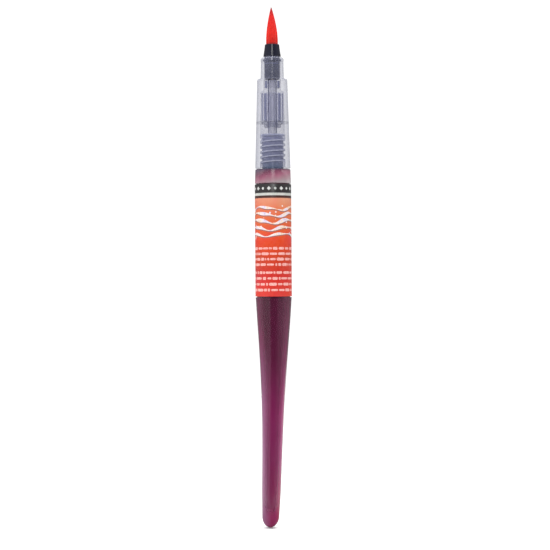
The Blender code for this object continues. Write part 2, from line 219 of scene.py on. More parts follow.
def quarter_arc(radius, height, steps):
    """The rounded end of a tail, from the axis at height 0 to radius at height."""
    points = []
    for step in range(steps):
        angle = math.pi / 2 * step / steps
        points.append((radius * math.sin(angle), height * (1 - math.cos(angle))))
    return points


# ---------------------------------------------------------------- meshes and pieces


def straight(radius, angle, height):
    """A point of a turned piece round the straight axis."""
    return radius * math.cos(angle), radius * math.sin(angle), height


def bowed(radius, angle, height):
    """A point of a turned piece whose axis bows sideways towards the tail."""
    x, y, z = straight(radius, angle, height)
    share = max(0.0, (TAIL_TOP - height) / TAIL_TOP)
    return x - TAIL_BOW * share**TAIL_BOW_POWER, y, z


def ridge(thread, angle, height):
    """How far up its flank a thread is, from 0 to 1, at a place on its wall."""
    share = (angle % math.tau) / math.tau
    turn = (height - thread["start"]) / PITCH - share
    nearest = round(turn)
    offset = abs(turn - nearest) * PITCH
    flank = (thread["half"] - offset) / (thread["half"] - thread["flat"])
    progress = nearest + share
    fade = 8 * min(progress, thread["turns"] - progress)
    flank = max(0.0, min(1.0, flank)) * max(0.0, min(1.0, fade))
    return flank * flank * (3 - 2 * flank)


def threaded(thread, place):
    """A shape that raises a thread on the wall that lies at the thread's root radius."""
    def shape(radius, angle, height):
        if abs(radius - thread["root"]) < 1e-6:
            radius += (thread["crest"] - thread["root"]) * ridge(thread, angle, height)
        return place(radius, angle, height)
    return shape


def finish(name, mesh_data, *materials):
    """Store a bmesh in millimetres as a smooth-shaded object in metres."""
    bmesh.ops.recalc_face_normals(mesh_data, faces=mesh_data.faces)
    bmesh.ops.scale(mesh_data, vec=(MM, MM, MM), verts=mesh_data.verts)
    mesh = bpy.data.meshes.new(name)
    mesh_data.to_mesh(mesh)
    mesh_data.free()
    mesh.shade_smooth()
    mesh.set_sharp_from_angle(angle=math.radians(SHARP_ANGLE))
    for material in materials:
        mesh.materials.append(material)
    piece = bpy.data.objects.new(name, mesh)
    bpy.context.scene.collection.objects.link(piece)
    return piece


def turned(name, outline, materials, closed=True, shape=straight, segments=SEGMENTS, slot_of=None):
    """Spin an outline of (radius, height) points round the axis into a closed surface.

    A closed outline makes a ring. An open one starts and ends on the axis. slot_of gives
    the material's number for a face from the outline's middle height there.
    """
    mesh_data = bmesh.new()
    rings = []
    for radius, height in outline:
        spokes = 1 if radius < 1e-6 else segments
        angles = [math.tau * step / segments for step in range(spokes)]
        rings.append([mesh_data.verts.new(shape(radius, angle, height)) for angle in angles])
    last = len(rings) if closed else len(rings) - 1
    for index in range(last):
        ring, after = rings[index], rings[(index + 1) % len(rings)]
        middle = (outline[index][1] + outline[(index + 1) % len(rings)][1]) / 2
        for step in range(segments):
            other = (step + 1) % segments
            corners = [ring[step % len(ring)], ring[other % len(ring)]]
            corners += [after[other % len(after)], after[step % len(after)]]
            face = mesh_data.faces.new(list(dict.fromkeys(corners)))
            if slot_of is not None:
                face.material_index = slot_of(middle)
    return finish(name, mesh_data, *materials)


def places(piece):
    """A piece's vertices as three rows of x, y and z, in millimetres."""
    co = np.zeros(len(piece.data.vertices) * 3)
    piece.data.vertices.foreach_get("co", co)
    return co.reshape(-1, 3).T / MM


def mark(piece, name, values):
    """Store a value from 0 to 1 on each vertex, for the material."""
    layer = piece.data.attributes.new(name, "FLOAT", "POINT")
    layer.data.foreach_set("value", np.clip(values, 0.0, 1.0).astype(np.float32))


def mark_lift(piece, root, crest):
    """Store how high on its thread each vertex lies."""
    x, y, _ = places(piece)
    mark(piece, "lift", (np.hypot(x, y) - root) / (crest - root))


def place(piece, body, slot, *nodes):
    """Ride on a body and stand for CAD nodes. slot is not used."""
    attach(piece, body)
    if nodes:
        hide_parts(*nodes)
    return piece


# ---------------------------------------------------------------- materials


def tone(code):
    """A linear colour from a web colour code."""
    channels = [int(code[i:i + 2], 16) / 255 for i in (0, 2, 4)]
    linear = [c / 12.92 if c <= 0.04045 else ((c + 0.055) / 1.055) ** 2.4 for c in channels]
    return (*linear, 1.0)


def add_node(tree, kind, inputs=None, **settings):
    """A new node, with its settings and with values or links for its inputs."""
    made = tree.nodes.new(kind)
    for key, value in settings.items():
        setattr(made, key, value)
    for key, value in (inputs or {}).items():
        feed(tree, made.inputs[key], value)
    return made


def feed(tree, socket, value):
    """Give an input a value, or a link from another node's output."""
    if isinstance(value, bpy.types.NodeSocket):
        tree.links.new(value, socket)
    else:
        socket.default_value = value


def fill_ramp(made, stops):
    """Give a colour ramp its (position, colour) stops."""
    elements = made.color_ramp.elements
    while len(elements) < len(stops):
        elements.new(1.0)
    for element, (position, colour) in zip(elements, stops):
        element.position = position
        element.color = colour


class Shade:
    """A material under construction, with short calls for the nodes that it uses."""

    def __init__(self, name):
        self.material = bpy.data.materials.new(name)
        self.material.use_nodes = True
        self.tree = self.material.node_tree
        self.surface = self.tree.nodes["Principled BSDF"]
        self.output = self.tree.nodes["Material Output"]
        self.point = self.add("ShaderNodeTexCoord").outputs["Object"]
        self.x, self.y, self.z = self.add("ShaderNodeSeparateXYZ", {0: self.point}).outputs

    def add(self, kind, inputs=None, **settings):
        """A new node in this material."""
        return add_node(self.tree, kind, inputs, **settings)

    def set(self, name, value):
        """Give one of the surface's own inputs a value or a link."""
        feed(self.tree, self.surface.inputs[name], value)

    def maths(self, operation, first, second=0.0, clamp=False):
        """The result of one sum on two values, held from 0 to 1 with clamp."""
        return self.add(
            "ShaderNodeMath", {0: first, 1: second}, operation=operation, use_clamp=clamp,
        ).outputs[0]

    def times(self, first, second):
        """Two values multiplied."""
        return self.maths("MULTIPLY", first, second)

    def spread(self, value, low, high, new_low=0.0, new_high=1.0):
        """value, stretched from low..high to new_low..new_high and held inside."""
        made = self.add("ShaderNodeMapRange", {0: value, 1: low, 2: high, 3: new_low, 4: new_high})
        return made.outputs[0]

    def noise(self, per_mm, detail=3.0, stretch=(1.0, 1.0, 1.0), shift=0.0):
        """Noise from 0 to 1 with so many grains a millimetre along each axis."""
        scale = tuple(per_mm * s / MM for s in stretch)
        moved = self.add("ShaderNodeMapping", {0: self.point, 1: (shift, shift, shift), 3: scale})
        inputs = {"Vector": moved.outputs[0], "Scale": 1.0, "Detail": detail}
        grain = self.add("ShaderNodeTexNoise", inputs)
        return self.spread(grain.outputs["Fac"], 0.3, 0.7)

    def ramp(self, value, stops):
        """Colours along value. stops are (position, colour code) pairs."""
        made = self.add("ShaderNodeValToRGB", {0: value})
        fill_ramp(made, [(position, tone(code)) for position, code in stops])
        return made.outputs[0]

    def blend(self, share, first, second):
        """Two colours mixed by share. Each is a colour code or a socket."""
        first = tone(first) if isinstance(first, str) else first
        second = tone(second) if isinstance(second, str) else second
        made = self.add("ShaderNodeMix", {0: share, 6: first, 7: second}, data_type="RGBA")
        return made.outputs[2]

    def by_height(self, low, high, new_low=0.0, new_high=1.0):
        """new_low at the height low and new_high at high, both heights in millimetres."""
        return self.spread(self.z, low * MM, high * MM, new_low, new_high)

    def by_side(self, left, right, new_left=0.0, new_right=1.0):
        """new_left at left and new_right at right, in millimetres across the pen."""
        return self.spread(self.x, left * MM, right * MM, new_left, new_right)

    def attribute(self, name):
        """A value that is stored on the mesh."""
        return self.add("ShaderNodeAttribute", attribute_name=name).outputs["Fac"]

    def paint(self, colour, roughness, grain, relief):
        """Set the surface's colour, and its roughness and relief from a grain."""
        self.set("Base Color", colour)
        self.set("Roughness", self.spread(grain, 0.0, 1.0, roughness * 0.8, roughness * 1.25))
        inputs = {"Height": grain, "Strength": relief, "Distance": RELIEF_DEPTH * MM}
        self.set("Normal", self.add("ShaderNodeBump", inputs).outputs[0])
        return self.material

    def outside(self, skin):
        """1 beyond the distance skin from the axis, in metres, and 0 within it."""
        squares = self.maths("ADD", self.times(self.x, self.x), self.times(self.y, self.y))
        beyond = self.maths("SUBTRACT", self.maths("SQRT", squares), skin)
        return self.spread(beyond, -SKIN_BLUR * MM, SKIN_BLUR * MM)

    def open_up(self, tint, haze, edge, power, grain, extra=None, walls=(0.0, 1.0), skin=None):
        """Let light through the surface. It is haze solid face on and haze + edge side on.

        walls are the two angles, as Facing values, between which the edge comes in. With
        skin the edge is on the outside only, beyond that distance in metres from the axis.
        """
        facing = self.add("ShaderNodeLayerWeight", {0: 0.5}).outputs["Facing"]
        side_on = self.spread(facing, *walls)
        rim = self.times(self.maths("POWER", side_on, power), edge)
        if skin is not None:
            rim = self.times(rim, self.outside(skin))
        solid = self.maths("ADD", rim, self.spread(grain, 0.0, 1.0, haze * 0.85, haze * 1.15))
        if extra is not None:
            solid = self.maths("ADD", solid, extra)
        solid = self.maths("ADD", solid, 0.0, clamp=True)
        clear = self.add("ShaderNodeBsdfTransparent", {0: (*tint, 1.0)})
        inputs = {0: solid, 1: clear.outputs[0], 2: self.surface.outputs[0]}
        mixed = self.add("ShaderNodeMixShader", inputs)
        self.tree.links.new(mixed.outputs[0], self.output.inputs["Surface"])
        return self.material


def moulded(name, dark, light, roughness, per_mm=1.4, relief=0.08):
    """A solid moulded plastic with a faint cloudy variation."""
    shade = Shade(name)
    grain = shade.noise(per_mm)
    colour = shade.blend(shade.noise(per_mm * 0.3, shift=4.0), dark, light)
    return shade.paint(colour, roughness, grain, relief)


def clear(name, dark, light, tint, haze, edge, power, roughness=0.2, walls=(0.0, 1.0), skin=None):
    """A see-through plastic, cloudier where it is seen side on. skin is in millimetres."""
    shade = Shade(name)
    grain = shade.noise(0.5, stretch=(1.0, 1.0, 0.3))
    colour = shade.blend(grain, dark, light)
    shade.paint(colour, roughness, shade.noise(3.0), 0.03)
    skin = None if skin is None else skin * MM
    return shade.open_up(tint, haze, edge, power, grain, walls=walls, skin=skin)


def grip_plastic():
    """The clear grip and nozzle. Only their outside clouds over where it is seen side on. A band of painted
    shade darkens the grip at the disc's height.
    """
    shade = Shade("grip_clear")
    grain = shade.noise(0.5, stretch=(1.0, 1.0, 0.3))
    away = shade.maths("ABSOLUTE", shade.maths("SUBTRACT", shade.z, DISC_HEIGHT * MM))
    # painted shade: a dark line on the grip at the disc's height, made more solid there too
    disc_shade_line = shade.spread(away, 0.3 * MM, 0.1 * MM)
    colour = shade.blend(disc_shade_line, shade.blend(grain, "8f92a8", "a8abbf"), "50536a")
    shade.paint(colour, 0.16, shade.noise(3.0), 0.03)
    skin = shade.by_height(CAP_SEAT - 0.2, CAP_SEAT, 4.2 * MM, 3.2 * MM)
    shadow = shade.times(shade.times(disc_shade_line, shade.outside(skin)), 0.22)
    return shade.open_up((0.89, 0.89, 0.905), 0.09, 0.42, 1.1, grain, shadow, skin=skin)


def grip_thread_plastic():
    """The grip's inside where it is threaded, with a painted highlight paler along the ridge."""
    shade = Shade("grip_thread_clear")
    grain = shade.noise(0.8)
    # painted highlight: the colour grows paler up the thread towards its crest
    shade.paint(shade.blend(shade.attribute("lift"), "8e92b0", "a4a8c4"), 0.25, grain, 0.06)
    return shade.open_up((0.95, 0.95, 0.97), 0.26, 0.2, 2.0, grain)


def barrel_plastic():
    """The barrel's translucent plastic: dark wine red above, rosier down the tail.

    The tail has a painted greyish sheen on its left and a painted crimson glow low on its right; its solid
    end is crimson too.
    """
    shade = Shade("barrel_wine_translucent")
    grain = shade.noise(0.25, stretch=(1.0, 1.0, 0.2))
    stops = [
        (0.0, "681236"), (0.06, "6c163c"), (0.13, "842a54"), (0.34, "902c63"), (0.5, "912260"),
        (0.69, "701d48"), (0.85, "5a1436"), (1.0, "4c102a"),
    ]
    stain = shade.ramp(shade.by_height(0.0, LABEL_LOW), stops)
    colour = shade.blend(shade.times(grain, 0.22), stain, "96386e")
    # painted sheen: the tail's left side is painted greyer
    left_sheen = shade.times(shade.by_side(-1.2, -3.4, 0.0, 0.6), shade.by_height(58.0, 40.0))
    colour = shade.blend(left_sheen, colour, "7e5a78")
    # painted glow: crimson low on the tail's right side
    crimson = shade.times(shade.by_height(19.0, 6.0), shade.by_side(0.2, 1.4, 0.0, 0.75))
    colour = shade.blend(crimson, colour, "8a1034")
    shade.set("Specular IOR Level", shade.by_height(4.0, 9.0, 0.1, 0.6))
    shade.paint(colour, 0.14, grain, 0.0)
    tip = shade.by_height(7.0, 3.5, 0.0, 0.55)
    return shade.open_up((0.93, 0.86, 0.9), 0.5, 0.46, 1.0, grain, tip, (0.12, 0.42))


def window_plastic():
    """The clear ring over the label, stained by ink from its upper left downwards, with painted shade in a
    dark band at its top under the shoulder.
    """
    shade = Shade("barrel_window_stained")
    grain = shade.noise(0.45, detail=4.0)
    slant = shade.maths("SUBTRACT", shade.z, shade.times(shade.x, 0.22))
    wobble = shade.times(grain, 0.6 * MM)
    depth = shade.spread(shade.maths("ADD", slant, wobble), 106.9 * MM, 112.9 * MM)
    stops = [
        (0.05, "c4b8ba"), (0.28, "b8919c"), (0.5, "ac6880"), (0.66, "8e4c66"), (0.8, "73425a"),
        (0.95, "54405a"),
    ]
    # painted shade: a dark band at the window's top, under the shoulder
    rim = shade.by_height(111.35, 111.7, 0.0, 0.8)
    shade.set("Specular IOR Level", 0.4)
    shade.paint(shade.blend(rim, shade.ramp(depth, stops), "46364c"), 0.18, grain, 0.0)
    return shade.open_up((0.92, 0.88, 0.9), 0.68, 0.22, 2.0, grain)


def neck_plastic():
    """The threaded neck, darker and bluer near its foot, with painted highlights almost white along its
    crests.
    """
    shade = Shade("neck_threaded_clear")
    grain = shade.noise(0.8)
    stops = [(0.0, "5c7490"), (0.14, "6a7c98"), (0.3, "7a7e9e"), (1.0, "8a8eb0")]
    groove = shade.ramp(shade.by_height(SHOULDER, NECK_TOP), stops)
    # painted highlight: the thread's crests are painted almost white
    crest = shade.spread(shade.attribute("lift"), 0.75, 1.0)
    shade.paint(shade.blend(crest, groove, "f0f2fc"), 0.2, grain, 0.03)
    return shade.open_up((0.92, 0.92, 0.95), 0.8, 0.15, 2.0, grain)


def ink_material():
    """Wine-red ink, darker where the barrel is wide, with a painted crimson glow in the tail's tip and a
    painted red glow just under the label.
    """
    shade = Shade("ink_wine")
    stops = [(0.0, "8e1840"), (0.18, "7c163c"), (0.45, "661236"), (0.75, "480c22"), (1.0, "3c0816")]
    depth = shade.ramp(shade.by_height(0.0, LABEL_LOW), stops)
    swirl = shade.noise(0.12, detail=4.0, stretch=(1.0, 1.0, 0.3))
    colour = shade.blend(shade.times(swirl, 0.35), depth, "7a1c40")
    # painted glow: crimson low in the tail, towards its right
    crimson = shade.times(shade.by_height(20.0, 3.0), shade.by_side(-1.6, 0.4))
    colour = shade.blend(crimson, colour, "a3244c")
    # painted glow: a deeper red just under the label
    glow_under_label = shade.by_height(LABEL_LOW - 4.0, LABEL_LOW)
    colour = shade.blend(shade.times(glow_under_label, 0.6), colour, "5c0812")
    shade.set("Specular IOR Level", 0.15)
    return shade.paint(colour, 0.3, swirl, 0.0)


def label_paint():
    """Loose watercolour in salmon, orange and red, washed round the label."""
    shade = Shade("label_watercolour")
    share = shade.by_height(LABEL_HIGH - 4.6, LABEL_LOW)
    orange_stops = [
        (0.0, "dca07c"), (0.12, "e07a4a"), (0.28, "de6426"), (0.44, "df4406"), (0.6, "cf360c"),
        (0.8, "d42110"), (1.0, "dc3214"),
    ]
    red_stops = [
        (0.0, "e06a5c"), (0.2, "d35c38"), (0.4, "dc2c34"), (0.6, "ba3c0c"), (0.8, "c62430"),
        (1.0, "df3a3e"),
    ]
    wash = shade.noise(0.14, detail=5.0, stretch=(1.0, 1.0, 0.7))
    fine = shade.noise(1.1, detail=4.0, shift=7.0)
    colour = shade.blend(wash, shade.ramp(share, orange_stops), shade.ramp(share, red_stops))
    colour = shade.blend(shade.times(fine, 0.06), colour, "f2a080")
    shade.set("Specular IOR Level", 0.3)
    return shade.paint(colour, 0.42, shade.noise(4.0), 0.04)


def filament_material():
    """Ink-soaked nylon filaments, each a slightly different red, darkened by painted shade at the collar and
    darker at the tip.
    """
    shade = Shade("filament_red")
    stops = [
        (0.0, "6e1c20"), (0.05, "d42410"), (0.3, "f02c18"), (0.75, "e8302a"), (0.9, "c02c2e"),
        (1.0, "6e2428"),
    ]
    # painted shade: the ramp starts dark where the filaments leave the collar
    along = shade.ramp(shade.attribute("rise"), stops)
    strand = shade.attribute("strand")
    colour = shade.blend(shade.spread(strand, 0.0, 1.0, 0.0, 0.38), along, "a81c28")
    grain = shade.noise(6.0, stretch=(1.0, 1.0, 0.1))
    shade.set("Anisotropic", 0.4)
    shade.set("Specular IOR Level", 0.2)
    return shade.paint(colour, 0.42, grain, 0.1)


# ---------------------------------------------------------------- barrel


def tail_rows(inset, low, high, count):
    """The tail's outline from low to high, made smaller by inset."""
    points = []
    for row in range(count + 1):
        height = low + (high - low) * row / count
        points.append((smooth_through(TAIL_STATIONS, height) - inset, height))
    return points


def barrel_shell():
    """Tail, label recess, window, shoulder and threaded neck, all one moulding."""
    outside = [(radius, height, 0) for radius, height in quarter_arc(*TAIL_CAP, 12)]
    outside += [(radius, height, 0) for radius, height in tail_rows(0.0, TAIL_CAP[1], TAIL_TOP, 60)]
    recess = BARREL_RADIUS - RECESS
    outside += [
        (recess, TAIL_TOP, 0),
        (recess, LABEL_HIGH + GAP, 0),
        (BARREL_RADIUS, LABEL_HIGH + GAP, 0.1),
        (SHOULDER_RADIUS, SHOULDER, 0.3),
        (MALE["root"] + 0.01, SHOULDER, 0.15),
    ]
    outside += rows(MALE["root"], SHOULDER + 0.3, NECK_TOP - 0.4, THREAD_ROW)
    outside += [(MALE["root"] - 0.01, NECK_TOP, 0.25), (NECK_BORE, NECK_TOP, 0.1)]
    outside += [(NECK_BORE, NECK_BORE_LOW, 0.2), (CAVITY_RADIUS, CAVITY_TOP, 0.3)]
    dome = CAVITY_LOW + CAVITY_CAP
    dome_radius = smooth_through(TAIL_STATIONS, dome) - WALL
    inside = tail_rows(WALL, dome, CAVITY_TAIL_TOP, 40)
    inside = [(min(radius, CAVITY_RADIUS), height, 0) for radius, height in inside]
    tip = quarter_arc(dome_radius, CAVITY_CAP, 8)
    tip = [(radius, height + CAVITY_LOW, 0) for radius, height in tip]
    outline = rounded(outside + inside[::-1] + tip[::-1])

    def part_of(height):
        if height > SHOULDER:
            return 2
        return 1 if height > LABEL_HIGH else 0

    shell = turned(
        "barrel_shell", outline, [barrel_plastic(), window_plastic(), neck_plastic()],
        closed=False, shape=threaded(MALE, bowed), slot_of=part_of,
    )
    mark_lift(shell, MALE["root"], MALE["crest"])
    place(shell, "barrel", "barrel_plastic", "reservoir_barrel")


def ink_body():
    """The ink itself, close against the cavity's wall, with a meniscus on top."""
    gap = 0.04
    dome = CAVITY_LOW + CAVITY_CAP
    dome_radius = smooth_through(TAIL_STATIONS, dome) - WALL - gap
    tip = quarter_arc(dome_radius, CAVITY_CAP, 8)
    outline = [(radius, height + CAVITY_LOW + gap) for radius, height in tip]
    wall = tail_rows(WALL + gap, dome + gap, CAVITY_TAIL_TOP, 40)
    edge = CAVITY_RADIUS - gap
    outline += [(min(radius, edge), height) for radius, height in wall]
    outline += [(edge, INK_LEVEL), (edge - 0.25, INK_LEVEL - 0.2), (edge - 1.0, INK_LEVEL - 0.35)]
    outline += [(0.0, INK_LEVEL - 0.4)]
    body = turned("ink_body", outline, [ink_material()], closed=False, shape=bowed)
    place(body, "barrel", "ink", "ink_fill")


def neck_plug():
    """The stopper in the neck, with its metering hole."""
    low, high = heights("mouth_plug")
    radius = reach("mouth_plug")
    mouth = 1.1
    hole = 0.5
    corners = [
        (radius - 0.3, low, 0.1), (radius, low + 0.6, 0.15), (radius, high, 0.1),
        (mouth, high, 0.1), (mouth - 0.2, high - 0.5, 0.1), (hole, high - 0.7, 0.1), (hole, low, 0.08),
    ]
    material = clear("plug_clear", "787c9c", "a0a4c2", (0.92, 0.92, 0.94), 0.7, 0.2, 2.0)
    plug = turned("neck_plug", rounded(corners), [material])
    place(plug, "barrel", "frosted_plastic", "mouth_plug")


# ---------------------------------------------------------------- label


BAND_LOW = LABEL_HIGH - 2.8
RULE_LOW = BAND_LOW - 0.8
LINE_LOW = RULE_LOW - 0.8
DROPS_LOW, DROPS_HIGH = 89.9, 101.3
DROPS = 46
PRINT_RADIUS = LABEL_RADIUS - 0.005
PRINT_HEIGHT = 0.012
PRINT_DEPTH = 0.02
FILM = 0.06


def on_label(along, height, lift):
    """A point on the label, along mm round it from the middle of its front."""
    radius = PRINT_RADIUS + lift
    angle = along / PRINT_RADIUS
    return radius * math.sin(angle), -radius * math.cos(angle), height


def ribbon(mesh_data, path, lift=PRINT_HEIGHT, slot=0):
    """A thin raised print mark that follows (along, height, half width) points."""
    sections = []
    for index, (along, height, half) in enumerate(path):
        before = path[max(index - 1, 0)]
        after = path[min(index + 1, len(path) - 1)]
        run = Vector((after[0] - before[0], after[1] - before[1])).normalized()
        side = Vector((-run.y, run.x)) * half
        left = (along + side.x, height + side.y)
        right = (along - side.x, height - side.y)
        corners = [(*left, lift), (*right, lift), (*right, -PRINT_DEPTH), (*left, -PRINT_DEPTH)]
        sections.append([mesh_data.verts.new(on_label(*corner)) for corner in corners])
    for section, after in zip(sections, sections[1:]):
        for side in range(4):
            other = (side + 1) % 4
            face = mesh_data.faces.new((section[side], section[other], after[other], after[side]))
            face.material_index = slot
    for end in (sections[0], sections[-1]):
        mesh_data.faces.new(end).material_index = slot


def bar(along, height, length, thick):
    """The path of a level bar with softly rounded ends."""
    path = []
    for share in (0.0, 0.06, 0.15, 0.4, 0.6, 0.85, 0.94, 1.0):
        round_off = min(1.0, 0.35 + 8 * min(share, 1 - share))
        path.append((along + length * share, height, thick / 2 * round_off))
    return path


def spot(along, height, size, squareness=0.5):
    """The path of a spot: a disc at squareness 0.5 and a lozenge at 1."""
    path = []
    steps = 8
    for step in range(steps + 1):
        share = 2 * step / steps - 1
        half = size * max(0.0, 1 - abs(share) ** (1 / squareness)) ** squareness
        path.append((along + size * share, height, max(0.02, half)))
    return path


def wave(level, swell, crests, phase, width):
    """The path of a painted wave that runs right round the label and meets itself."""
    path = []
    steps = 144
    for step in range(steps + 1):
        angle = math.tau * step / steps
        rise = math.sin(crests * angle + phase) + 0.3 * math.sin(2 * crests * angle + 2.6 * phase)
        half = width * (0.62 + 0.38 * math.sin((crests + 2) * angle + 1.3 * phase))
        path.append(((angle - math.pi) * PRINT_RADIUS, level + swell * rise, half))
    return path


def label_sleeve():
    """The printed film: black band, two rules and the watercolour field."""
    inner = LABEL_RADIUS - FILM
    corners = [(PRINT_RADIUS, LABEL_LOW, 0.03)]
    corners += [(PRINT_RADIUS, height, 0) for height in (LINE_LOW, RULE_LOW, BAND_LOW)]
    corners += [(PRINT_RADIUS, LABEL_HIGH, 0.03), (inner, LABEL_HIGH, 0.02), (inner, LABEL_LOW, 0.02)]
    outline = rounded(corners, steps=2)

    def part_of(height):
        return sum(height > limit for limit in (LINE_LOW, RULE_LOW, BAND_LOW))

    materials = [
        label_paint(), moulded("print_brown", "2a0e06", "451a0c", 0.4),
        moulded("print_pale_rule", "b8bdb6", "d4d2cc", 0.4), moulded("print_black", "121212", "241d1e", 0.35),
    ]
    sleeve = turned("label_sleeve", outline, materials, slot_of=part_of)
    place(sleeve, "barrel", "label", "label_film")


def band_ornament():
    """Lozenges and discs in turn round the black band."""
    mesh_data = bmesh.new()
    count = 18
    middle = (BAND_LOW + LABEL_HIGH) / 2
    spacing = math.tau * PRINT_RADIUS / count
    for index in range(count):
        along = spacing * (index + 0.35)
        lozenge = index % 2
        ribbon(mesh_data, spot(along, middle, 0.62 if lozenge else 0.4, 1.0 if lozenge else 0.5))
    marks = finish("band_ornament", mesh_data, moulded("print_pale", "b9bdb9", "e2e2de", 0.4))
    place(marks, "barrel", "label")


def painted_waves():
    """Pale waves round the label with soft shadows under them, and a spatter of drops.

    Each wave has a level, a swell, a number of crests, a phase and a half width.
    """
    waves = [
        (99.5, 0.5, 3, 0.4, 0.42), (97.6, 0.55, 3, 1.0, 0.52), (95.5, 0.6, 3, 1.6, 0.6),
        (93.3, 0.55, 3, 2.2, 0.5), (91.3, 0.45, 3, 2.8, 0.42),
    ]
    mesh_data = bmesh.new()
    for level, swell, crests, phase, width in waves:
        shadow = wave(level - 0.3, swell, crests, phase, width)
        ribbon(mesh_data, shadow, PRINT_HEIGHT * 0.4, slot=1)
        ribbon(mesh_data, wave(level, swell, crests, phase, width))
    draw = random.Random(3)
    half_round = math.pi * PRINT_RADIUS
    for _ in range(DROPS):
        where = draw.uniform(-half_round, half_round), draw.uniform(DROPS_LOW, DROPS_HIGH)
        ribbon(mesh_data, spot(*where, draw.uniform(0.1, 0.34)), PRINT_HEIGHT * 1.6)
    shade = Shade("print_wave_pale")
    wash = shade.noise(0.7, detail=4.0)
    colour = shade.ramp(wash, [(0.0, "eab48e"), (0.4, "f2e2d8"), (0.7, "e4d8e8"), (1.0, "c6b4d2")])
    pale = shade.paint(colour, 0.42, shade.noise(4.0), 0.04)
    shadow_ink = moulded("print_wave_shadow", "8a5450", "a87468", 0.45)
    place(finish("painted_waves", mesh_data, pale, shadow_ink), "barrel", "label")


def fine_rows():
    """Two blocks of fine dashed rows, in lengths that mean nothing.

    Each block has the height of its top row, the space between rows and their number.
    """
    mesh_data = bmesh.new()
    draw = random.Random(11)
    blocks = [(87.1, 1.67, 4), (79.6, 1.8, 4)]
    half_round = math.pi * PRINT_RADIUS
    for top, pitch, count in blocks:
        for row in range(count):
            height = top - pitch * row
            along = -half_round + draw.uniform(0.1, 0.8)
            while along < half_round - 1.0:
                length = min(draw.uniform(0.5, 2.6), half_round - 0.3 - along)
                ribbon(mesh_data, bar(along, height, length, draw.uniform(0.62, 0.9)))
                along += length + draw.uniform(0.2, 0.5)
    shade = Shade("print_row_pink")
    colour = shade.blend(shade.noise(2.6, detail=4.0), "e88f8a", "f8c4ba")
    marks = finish("fine_rows", mesh_data, shade.paint(colour, 0.42, shade.noise(4.0), 0.04))
    place(marks, "barrel", "label")


# ---------------------------------------------------------------- front section


def section_shell():
    """The clear grip, its cap shoulder and the nozzle, with the female thread inside."""
    corners = [
        (SECTION_RADIUS, SECTION_LOW, 0.15), (GRIP_TOP_RADIUS, CAP_SEAT, 0.5),
        (NOZZLE_RADIUS, CAP_SEAT, 0.1), (NOZZLE_END_RADIUS, GROOVE_LOW, 0.15),
        (BEAD_RADIUS, GROOVE_LOW + 0.3, 0.15), (BEAD_RADIUS, GROOVE_HIGH, 0.2),
        (RIM_RADIUS, NOZZLE_TOP, 0.15), (NOZZLE_BORE, NOZZLE_TOP, 0.08),
        (NOZZLE_BORE, GROOVE_HIGH, 0.04), (GROOVE_RADIUS, GROOVE_HIGH, 0.08),
        (GROOVE_RADIUS, GROOVE_LOW, 0.08), (NOZZLE_BORE, GROOVE_LOW, 0.04),
        (NOZZLE_BORE, CAP_SEAT - 0.1, 0.05), (BUSH_BORE, CAP_SEAT - 0.1, 0.05),
        (BUSH_BORE, CHAMBER_TOP + 0.6, 0.2), (CHAMBER_BORE, CHAMBER_TOP, 0.2),
        (CHAMBER_BORE, BORE_STEP, 0.05), (SKIRT_BORE, BORE_STEP, 0.05),
        (SKIRT_BORE, NECK_TOP + 1.1, 0.05), (FEMALE["root"] - 0.01, NECK_TOP + 1.0, 0),
    ]
    corners += rows(FEMALE["root"], NECK_TOP + 0.9, SECTION_LOW + 0.3, THREAD_ROW)
    corners += [(FEMALE["root"] + 0.25, SECTION_LOW, 0.05)]
    shell = turned(
        "section_shell", rounded(corners), [grip_plastic(), grip_thread_plastic()],
        shape=threaded(FEMALE, straight),
        slot_of=lambda height: int(SECTION_LOW + 0.3 < height < NECK_TOP + 0.95),
    )
    mark_lift(shell, FEMALE["root"], FEMALE["crest"])
    place(shell, "section", "clear_plastic", "front_section")


def seal_washer():
    """The soft washer on top of the neck."""
    low, high = heights("neck_seal")
    middle = (low + high) / 2
    rim, dish, hole = 3.5, 2.6, 1.7
    corners = [
        (rim, low, 0.15), (rim, high, 0.15), (dish, high, 0.1), (dish - 0.1, middle, 0.1),
        (hole, middle + 0.1, 0.1), (hole, low, 0.1),
    ]
    material = clear("seal_milky", "c8cce4", "e2e6f8", (0.95, 0.95, 0.97), 0.7, 0.2, 2.0, 0.45)
    washer = turned("seal_washer", rounded(corners), [material])
    place(washer, "seal", "seal_rubber", "neck_seal")


def sleeve(name, node, inner, fillet, material):
    """A turned sleeve that fills a CAD node's height and outer radius."""
    low, high = heights(node)
    outer = reach(node)
    corners = [(outer, low, fillet), (outer, high, fillet), (inner, high, fillet), (inner, low, fillet)]
    piece = turned(name, rounded(corners), [material])
    place(piece, "section", "frosted_plastic", node)


def regulator_disc():
    """The disc across the bore and the boss under it."""
    low, high = heights("stop_disc")
    under = high - 0.7
    boss, rim = 2.6, 3.4
    hole, boss_hole = 1.65, 1.9
    corners = [
        (boss, low, 0.12), (boss, under, 0.08), (rim, under, 0.1), (rim, high, 0.1),
        (hole, high, 0.08), (hole, under, 0.05), (boss_hole, under, 0.05), (boss_hole, low, 0.12),
    ]
    material = clear("disc_clear", "585c7c", "74789a", (0.95, 0.95, 0.97), 0.14, 0.5, 1.5)
    disc = turned("regulator_disc", rounded(corners), [material])
    place(disc, "section", "frosted_plastic", "stop_disc")


